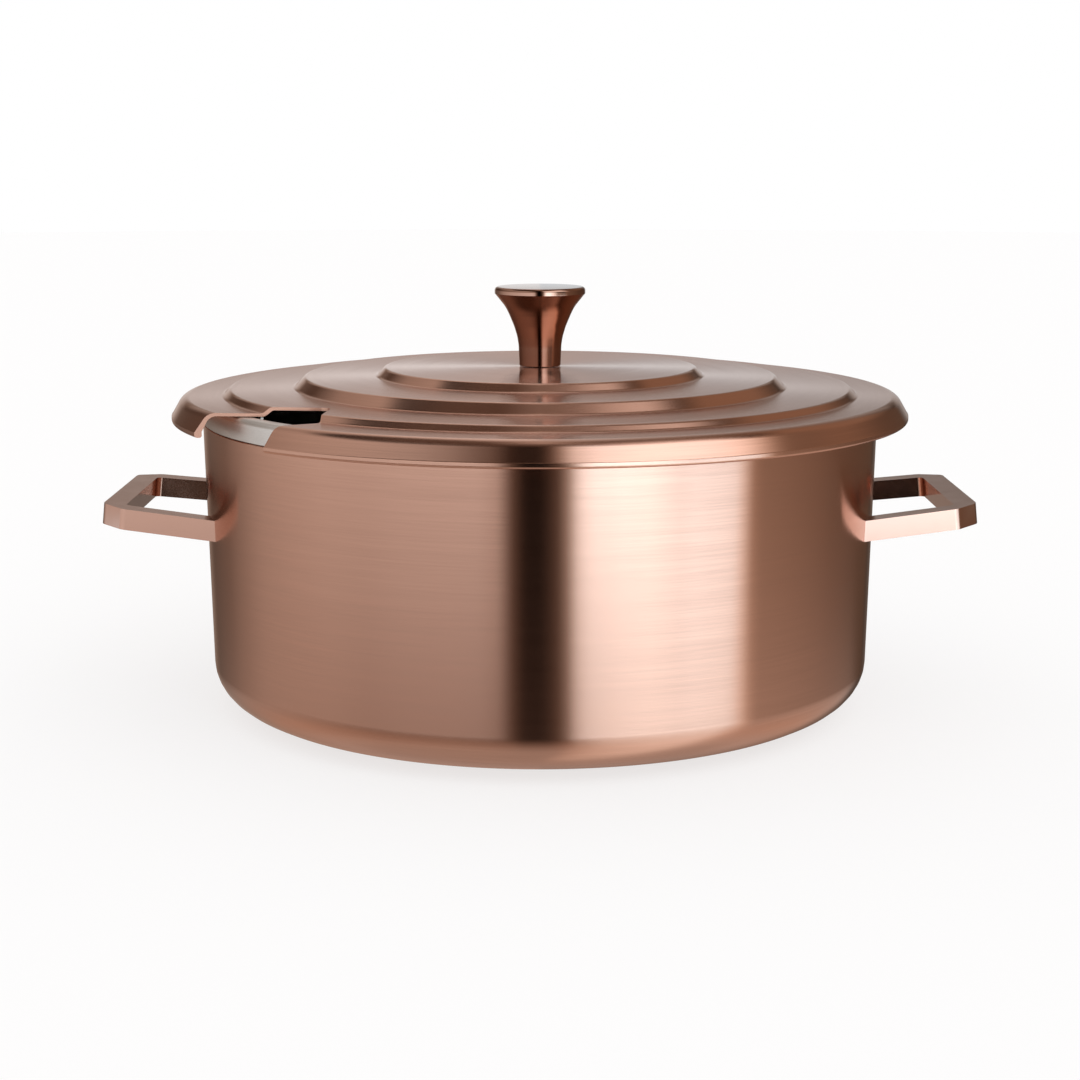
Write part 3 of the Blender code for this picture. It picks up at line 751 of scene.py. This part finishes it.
# %% Where the handle screws go
reach = pot_radius(bar_middle) + HANDLE_BORE_DEPTH / 2
screw_x = HANDLE_TILT_AT
for _ in range(8):              # settles in a few rounds
    screw_y = (arm_outer(screw_x) + arm_inner(screw_x)) / 2
    screw_x = sqrt(reach ** 2 - screw_y ** 2)
screw_angle = asin(screw_y / reach)
screw_angles = [screw_angle, -screw_angle, pi - screw_angle, pi + screw_angle]
print("the screws stand", round(degrees(screw_angle), 1), "degrees from the handles' line")


def radial_place(angle, radius):
    """Return a place on a radial line at the screws' height, with its Z pointing out along the line."""
    spin = Matrix.Rotation(angle, 4, "Z") @ Matrix.Rotation(pi / 2, 4, "Y")
    return Matrix.Translation((radius * cos(angle), radius * sin(angle), bar_middle)) @ spin


def radial_drill(angle, radius, drill_radius, length):
    """Return a cutter for a round hole on a radial line, centred at a radius."""
    drill = turned("drill", [
        (0.0, length / 2), (drill_radius, length / 2), (drill_radius, -length / 2), (0.0, -length / 2),
    ], sides=32)
    drill.data.transform(radial_place(angle, radius))
    return drill


# %% Make the handles
BEND_ROUND = 0.006
INNER_ROUND = 0.003
BAR_EDGE_STEPS = 4
BAR_EDGE_ANGLE = radians(20)    # edges that turn less than this belong to a round bend
inside = HANDLE_REACH - BAR_WIDTH
half = [
    (ARM_START, arm_outer(ARM_START), 0.0), (ARM_BEND, ARM_OUTER_AT_BEND, BEND_ROUND),
    (HANDLE_REACH, CORNER_HALF_WIDTH, BEND_ROUND),
]
back = [(inside, arm_inner(inside), INNER_ROUND), (ARM_START, arm_inner(ARM_START), 0.0)]
mirrored = [[(x, -y, rounding) for x, y, rounding in reversed(way)] for way in (half, back)]
outline = rounded_outline(half + mirrored[0] + mirrored[1] + back)
pivot = Matrix.Translation((HANDLE_TILT_AT, 0.0, bar_middle))
tilt = pivot @ Matrix.Rotation(-HANDLE_TILT, 4, "Y") @ pivot.inverted()
low, high = HANDLE_TOP - WALL_CUT_REACH, HANDLE_TOP + WALL_CUT_REACH
wall = turned("wall cutter", [
    (0.0, high), (pot_radius(high) + WALL_GAP, high), (pot_radius(low) + WALL_GAP, low), (0.0, low),
])
for side, turn, angles in (("right", 0.0, screw_angles[:2]), ("left", pi, screw_angles[2:])):
    handle = slab(f"{side}_handle_bar", outline, BAR_HEIGHT)
    place_on_side = Matrix.Rotation(turn, 4, "Z") @ tilt @ Matrix.Translation((0.0, 0.0, bar_middle))
    handle.data.transform(place_on_side)
    bevel = handle.modifiers.new("edges", "BEVEL")
    bevel.width = BAR_EDGE
    bevel.segments = BAR_EDGE_STEPS
    bevel.limit_method = "ANGLE"
    bevel.angle_limit = BAR_EDGE_ANGLE
    drills = [
        radial_drill(angle, pot_radius(bar_middle), HANDLE_BORE, 2 * HANDLE_BORE_DEPTH) for angle in angles
    ]
    cut(handle, wall, *drills)
    discard(*drills)
    handle.data.materials.clear()
    handle.data.materials.append(bright_copper)
    finished(handle, f"handle_{side}")
discard(wall)

# %% Drill the pot for the handle screws
WALL_HOLE = 0.0026
WALL_DRILL_LENGTH = 0.011       # half of it inside the wall's outer face
drills = [
    radial_drill(angle, pot_radius(bar_middle), WALL_HOLE, WALL_DRILL_LENGTH) for angle in screw_angles
]
cut(pot, *drills)
discard(*drills)
finished(pot, "outer_pot")

# %% [markdown]
# ### Screws, washers and seals
#
# A button-head screw from inside the pot holds each end of a handle, over a steel washer and a
# silicone seal that keeps the water in. One of each is turned, and a second tree puts it on its four
# places: the places are points that know which way is outward. The copies share one piece, because
# they ride on one body.

# %% The tree that sets a piece on its places
setting, given, output = new_tree("piece on its places", [("Piece", "Object"), ("Material", "Material")])
outward = add(setting, "GeometryNodeInputNamedAttribute", {"Name": "outward"}, data_type="FLOAT_VECTOR")
turned_out = add(setting, "FunctionNodeAlignRotationToVector", {"Vector": outward.outputs[0]}, axis="Z")
original = add(setting, "GeometryNodeObjectInfo", {"Object": given["Piece"]}).outputs["Geometry"]
copies = add(setting, "GeometryNodeInstanceOnPoints", {
    "Points": given["Geometry"], "Instance": original, "Rotation": turned_out.outputs[0],
}).outputs[0]
end_tree(setting, copies, given["Material"], output)


def set_on_wall(name, original, radius, material):
    """Copy a piece to the four screw places at a radius, as one piece."""
    mesh = bpy.data.meshes.new(name)
    mesh.from_pydata([radial_place(angle, radius).translation for angle in screw_angles], [], [])
    outward = mesh.attributes.new("outward", "FLOAT_VECTOR", "POINT")
    for item, angle in zip(outward.data, screw_angles):
        item.vector = (cos(angle), sin(angle), 0.0)
    made = placed(name, mesh)
    set_inputs(made.modifiers.new("places", "NODES"), setting, {"Piece": original, "Material": material})
    settled(made)
    discard(original)
    return made


# %% Functions for a washer and a button-head screw
HEAD_DOME = ((1.0, 0.35), (0.86, 0.75), (0.62, 1.0))   # outline of the head, in its radius and height
TIP_ROUND = 0.25                # share of the shank's radius
SOCKET_ACROSS = 0.0030
SOCKET_DEPTH = 0.0012
SMALL_SIDES = 48
SMALL_ROUND = 0.00012


def washer(name, hole, radius, thickness, top=0.0, material=None):
    """Return a flat ring with its top face at a height."""
    return turned(name, [
        (hole, top, SMALL_ROUND), (radius, top, SMALL_ROUND), (radius, top - thickness, SMALL_ROUND),
        (hole, top - thickness, SMALL_ROUND),
    ], material, closed=True, sides=SMALL_SIDES, steps=3)


def screw(name, shank, length, head, head_height, seat=0.0, material=None):
    """Return a screw: shank up from its seat, domed head with a hexagon socket below it."""
    section = [
        (0.0, seat + length), (shank, seat + length, shank * TIP_ROUND), (shank, seat),
        (head, seat, SMALL_ROUND),
    ]
    section += [(head * across, seat - head_height * down, head / 2) for across, down in HEAD_DOME]
    section.append((0.0, seat - head_height))
    made = turned(name, section, material, sides=SMALL_SIDES, steps=5)
    corner = SOCKET_ACROSS / 2 / cos(pi / 6)
    socket = turned("socket", [
        (0.0, seat - head_height + SOCKET_DEPTH), (corner, seat - head_height + SOCKET_DEPTH),
        (corner, seat - head_height - SOCKET_DEPTH), (0.0, seat - head_height - SOCKET_DEPTH),
    ], sides=6)
    cut(made, socket)
    discard(socket)
    return made


# %% Fix the handles
SMALL_GAP = 0.00015
SEAL_RADIUS, SEAL_THICK = 0.0054, 0.0008
WASHER_RADIUS, WASHER_THICK, WASHER_HOLE = 0.0050, 0.0006, 0.0026
SCREW_SHANK, SCREW_HEAD, SCREW_HEAD_HEIGHT = 0.0022, 0.0047, 0.0022
SCREW_REACH = 0.008             # past the outside of the pot's wall
wall_outside = pot_radius(bar_middle)
seal_face = wall_outside - POT_WALL - WALL_GAP
washer_face = seal_face - SEAL_THICK - SMALL_GAP
head_face = washer_face - WASHER_THICK - SMALL_GAP
seals = set_on_wall(
    "handle_seals", washer("seal", WASHER_HOLE, SEAL_RADIUS, SEAL_THICK), seal_face, silicone
)
washers = set_on_wall(
    "handle_washers", washer("washer", WASHER_HOLE, WASHER_RADIUS, WASHER_THICK), washer_face, turned_steel
)
handle_screw = screw(
    "screw", SCREW_SHANK, wall_outside + SCREW_REACH - head_face, SCREW_HEAD, SCREW_HEAD_HEIGHT
)
screws = set_on_wall("handle_screws", handle_screw, head_face, turned_steel)
for made, kind in ((seals, "seal"), (washers, "washer"), (screws, "screw")):
    nodes = [f"handle_{kind}_{side}_{end}" for side in ("left", "right") for end in ("front", "back")]
    finished(made, *nodes)

# %% Fix the knob
KNOB_WASHER_RADIUS, KNOB_WASHER_THICK = 0.008, 0.0012
KNOB_SCREW_SHANK, KNOB_SCREW_HEAD, KNOB_HEAD_HEIGHT = 0.0027, 0.0055, 0.0032
_, knob_washer_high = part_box("knob_washer")
_, knob_screw_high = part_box("knob_screw")
seat = knob_washer_high.z - KNOB_WASHER_THICK - SMALL_GAP
knob_washer = washer(
    "knob_fixing_washer", LID_HOLE, KNOB_WASHER_RADIUS, KNOB_WASHER_THICK, knob_washer_high.z, turned_steel
)
finished(knob_washer, "knob_washer")
knob_screw = screw(
    "knob_fixing_screw", KNOB_SCREW_SHANK, knob_screw_high.z - seat, KNOB_SCREW_HEAD, KNOB_HEAD_HEIGHT,
    seat, turned_steel,
)
finished(knob_screw, "knob_screw")

# %% [markdown]
# ## Studio
#
# What polished and brushed metal shows is the room. The room is painted on the world as light that
# comes from each direction: a card on the left, a softbox on the right with a plaster wall beside it, a
# pale backdrop behind the dish, a pale floor below and a dim ceiling above. In front stands the dark
# camera stand, which gives the dark band down the middle of the pot. Area lamps could do the same, but
# they would stand in the way when the dish is looked at from another side. Camera rays see plain white.
#
# A standing wall shows what lies a little below it, a bend what lies far below or above, and the lid's
# flats what lies low behind. So the card, the softbox and the wall each come in parts at their own
# heights, and each part is turned up or down until the surface that shows it looks right.

# %% The directions of the room
world = bpy.data.worlds.new("studio")
bpy.context.scene.world = world
world.use_nodes = True
room = world.node_tree
way = add(room, "ShaderNodeSeparateXYZ", {0: add(room, "ShaderNodeTexCoord").outputs["Generated"]}).outputs
forward = add(room, "ShaderNodeMath", {0: way["Y"], 1: -1.0}, operation="MULTIPLY").outputs[0]
bearing = add(room, "ShaderNodeMath", {0: way["X"], 1: forward}, operation="ARCTAN2").outputs[0]
height = add(room, "ShaderNodeMath", {0: way["Z"]}, operation="ARCSINE").outputs[0]


def levels(angle, reach, stops):
    """Return light that follows stops of (degrees, level), for an angle within -reach to reach."""
    share = add(room, "ShaderNodeMapRange", {
        "Value": angle, "From Min": -radians(reach), "From Max": radians(reach),
    }).outputs[0]
    made = add(room, "ShaderNodeValToRGB", {"Fac": share})
    elements = made.color_ramp.elements
    elements.remove(elements[1])
    for number, (degree, level) in enumerate(stops):
        place = (degree + reach) / (2 * reach)
        element = elements[0] if number == 0 else elements.new(place)
        element.position = place
        element.color = (level, level ** EDGE_GREEN, level ** EDGE_BLUE, 1.0)
    return made.outputs["Color"]


print("the photograph is taken from bearing 0, and the right-hand side is bearing 90")

# %% The lights, each by its bearing from the front and its height, in degrees
# A light is a little warmer where it fades, which the powers of its green and blue give.
EDGE_GREEN, EDGE_BLUE = 1.18, 1.32
WHITE = (1.0, 1.0, 1.0, 1.0)
DAYLIGHT = (2.3, 2.95, 3.4, 1.0)
WARMER_DAYLIGHT = (2.4, 2.75, 3.0, 1.0)
PLASTER = (1.0, 0.92, 0.82, 1.0)
SKY = (0.97, 1.06, 1.12, 1.0)
BACKDROP_HEIGHTS = (
    (-50, 0.0), (-20, 0.25), (-6, 0.30), (-3, 0.74), (5, 0.74), (7.5, 0.62), (9.3, 0.24), (11.7, 0.24),
    (13.5, 0.50), (18, 0.55), (26, 0.60), (40, 0.65), (60, 0.60), (75, 0.3),
)
ROOM = {
    "left card": (
        ((-156, 0.12), (-131, 0.20), (-118, 0.35), (-105, 0.52), (-90, 0.64), (-75, 0.75),
         (-60, 0.80), (-45, 0.88), (-20, 0.96), (-14, 0.84), (-9, 0.14), (-5, 0.0)),
        ((-18, 0.0), (-15, 0.60), (-13, 1.45), (-12, 0.92), (-9.2, 0.92), (-8.2, 1.60),
         (-5, 1.75), (2, 1.35), (8, 0.8), (20, 0.7), (30, 0.0)), WHITE),
    "left card, low": (
        ((-156, 0.36), (-130, 0.56), (-112, 0.62), (-98, 0.56), (-80, 0.42), (-60, 0.24),
         (-30, 0.17), (-20, 0.10), (-12, 0.03), (-8, 0.0)),
        ((-60, 0.0), (-40, 0.35), (-22, 0.85), (-18, 0.75), (-14, 0.0)), WHITE),
    "left card, high": (
        ((-156, 0.40), (-125, 0.50), (-110, 0.55), (-60, 0.76), (-45, 0.82), (-33, 0.75),
         (-17, 0.34), (-11, 0.05), (-7, 0.0)),
        ((20, 0.0), (32, 1.0), (48, 1.15), (53, 0.0)), WHITE),
    "softbox": (
        ((0, 0.0), (6, 0.05), (9, 0.21), (12, 0.68), (16, 0.80), (24, 0.80), (36, 1.03),
         (52, 1.14), (62, 1.04), (67, 0.96), (70.5, 0.55), (74, 0.05), (78, 0.0)),
        ((-19, 0.0), (-15, 0.80), (-13, 1.30), (-12, 0.78), (-9.2, 0.78), (-8.2, 1.45),
         (-6.5, 1.30), (-4, 0.2), (4, 0.1), (8, 0.0)), DAYLIGHT),
    "softbox, middle": (
        ((2, 0.0), (6, 0.06), (10, 0.34), (14, 1.15), (18, 1.40), (26, 1.40), (36, 0.90),
         (46, 0.10), (60, 0.0)),
        ((-9, 0.0), (-6, 1.0), (4, 1.0), (10, 0.55), (24, 0.5), (30, 0.0)), DAYLIGHT),
    "softbox, low": (
        ((2, 0.0), (9, 0.03), (14, 0.20), (24, 0.50), (45, 0.74), (66, 0.80), (74, 0.30), (80, 0.0)),
        ((-90, 0.18), (-50, 0.40), (-24, 0.70), (-19, 0.70), (-15, 0.0)), DAYLIGHT),
    "softbox, high": (
        ((0, 0.0), (4, 0.06), (8, 0.26), (13, 0.68), (22, 0.92), (45, 0.92), (66, 0.84),
         (76, 0.74), (83, 0.35), (88, 0.0)),
        ((18, 0.0), (27, 0.65), (36, 0.92), (47, 1.10), (55, 0.95), (62, 0.0)), WARMER_DAYLIGHT),
    "ceiling light on the right": (
        ((28, 0.0), (44, 0.60), (60, 0.75), (95, 0.70), (105, 0.0)),
        ((50, 0.0), (56, 1.0), (66, 1.0), (76, 0.2)), WHITE),
    "right wall": (
        ((66, 0.0), (73, 0.36), (80, 0.33), (97, 0.27), (115, 0.20), (152, 0.13), (156, 0.0)),
        ((-20, 0.0), (-15, 1.0), (20, 1.0), (46, 1.10), (52, 0.0)), PLASTER),
    "right wall, low": (
        ((68, 0.0), (74, 0.62), (84, 0.62), (110, 0.60), (140, 0.55), (156, 0.0)),
        ((-60, 0.0), (-40, 0.50), (-23, 1.0), (-19, 1.0), (-15, 0.0)), WHITE),
    "right wall, high": (
        ((100, 0.0), (118, 0.16), (152, 0.20), (158, 0.0)),
        ((14, 0.0), (26, 1.0), (60, 1.0), (70, 0.0)), PLASTER),
    "backdrop on the right": (
        ((152, 0.0), (160, 0.54), (168, 0.80), (175, 1.20)), BACKDROP_HEIGHTS, SKY),
    "backdrop on the left": (
        ((-175, 1.20), (-168, 0.84), (-160, 0.56), (-152, 0.0)), BACKDROP_HEIGHTS, SKY),
    "floor": (((-180, 1.0),), ((-52, 0.56), (-38, 0.24), (-28, 0.0)), WHITE),
    "floor beside the stand": (
        ((-10, 1.0), (-6, 0.3), (4, 0.3), (9, 1.0)),
        ((-52, 0.0), (-38, 0.14), (-28, 0.15), (-20, 0.0)), WHITE),
    "ceiling": (((-180, 1.0),), ((52, 0.0), (66, 0.13), (80, 0.14), (87, 0.60)), WHITE),
}

# %% Add the lights up
ROOM_LEVEL = (0.86, 0.86, 0.86, 1.0)     # brings all the lights down together
TIMES = {"data_type": "RGBA", "blend_type": "MULTIPLY"}
PLUS = {"data_type": "RGBA", "blend_type": "ADD"}
light = None
for across, upward, tint in ROOM.values():
    sideways, up_and_down = levels(bearing, 180, across), levels(height, 90, upward)
    shape = add(room, "ShaderNodeMix", {0: 1.0, 6: sideways, 7: up_and_down}, **TIMES).outputs[2]
    lit = add(room, "ShaderNodeMix", {0: 1.0, 6: shape, 7: tint}, **TIMES).outputs[2]
    if light is None:
        light = lit
    else:
        light = add(room, "ShaderNodeMix", {0: 1.0, 6: light, 7: lit}, **PLUS).outputs[2]
light = add(room, "ShaderNodeMix", {0: 1.0, 6: light, 7: ROOM_LEVEL}, **TIMES).outputs[2]
print("the room has", len(ROOM), "lights")

# %% What each kind of ray sees
# Metal sees the room. The camera, and diffuse surfaces, see plain white all round.
ray = add(room, "ShaderNodeLightPath").outputs
plain = add(room, "ShaderNodeMath", {
    0: ray["Is Camera Ray"], 1: ray["Is Diffuse Ray"],
}, operation="MAXIMUM").outputs[0]
seen = add(room, "ShaderNodeMix", {0: plain, 6: light, 7: WHITE}, data_type="RGBA").outputs[2]
room.links.new(seen, room.nodes["Background"].inputs["Color"])

# %% [markdown]
# ## Floor
#
# The dish stands on a plain pale floor. It keeps the soft shadow round the base, and is otherwise as
# white as the backdrop: for camera rays most of its light is its own. The metal doesn't see it,
# because in the photograph the wall shows the room down to its foot, as on a small table.

# %% Lay the floor
FLOOR_RADIUS = 6.0
FLOOR_GLOW = 0.72               # share of the floor's light that is its own, for the camera
FLOOR_SIDES = 64
PAPER_ROUGHNESS = 0.9
floor = turned("studio_floor", [(0.0, 0.0), (FLOOR_RADIUS, 0.0)], sides=FLOOR_SIDES)
paper, tree, shader = new_material("white paper")
shader.inputs["Base Color"].default_value = colour("#FAF6F5")
shader.inputs["Roughness"].default_value = PAPER_ROUGHNESS
shader.inputs["Specular IOR Level"].default_value = 0.0
glow = add(tree, "ShaderNodeEmission", {"Color": WHITE, "Strength": 1.0}).outputs[0]
to_camera = add(tree, "ShaderNodeMath", {
    0: add(tree, "ShaderNodeLightPath").outputs["Is Camera Ray"], 1: FLOOR_GLOW,
}, operation="MULTIPLY").outputs[0]
paper_or_glow = add(tree, "ShaderNodeMixShader", {
    0: to_camera, 1: shader.outputs[0], 2: glow,
}).outputs[0]
tree.links.new(paper_or_glow, tree.nodes["Material Output"].inputs["Surface"])
floor.data.materials.clear()
floor.data.materials.append(paper)
floor.visible_glossy = False
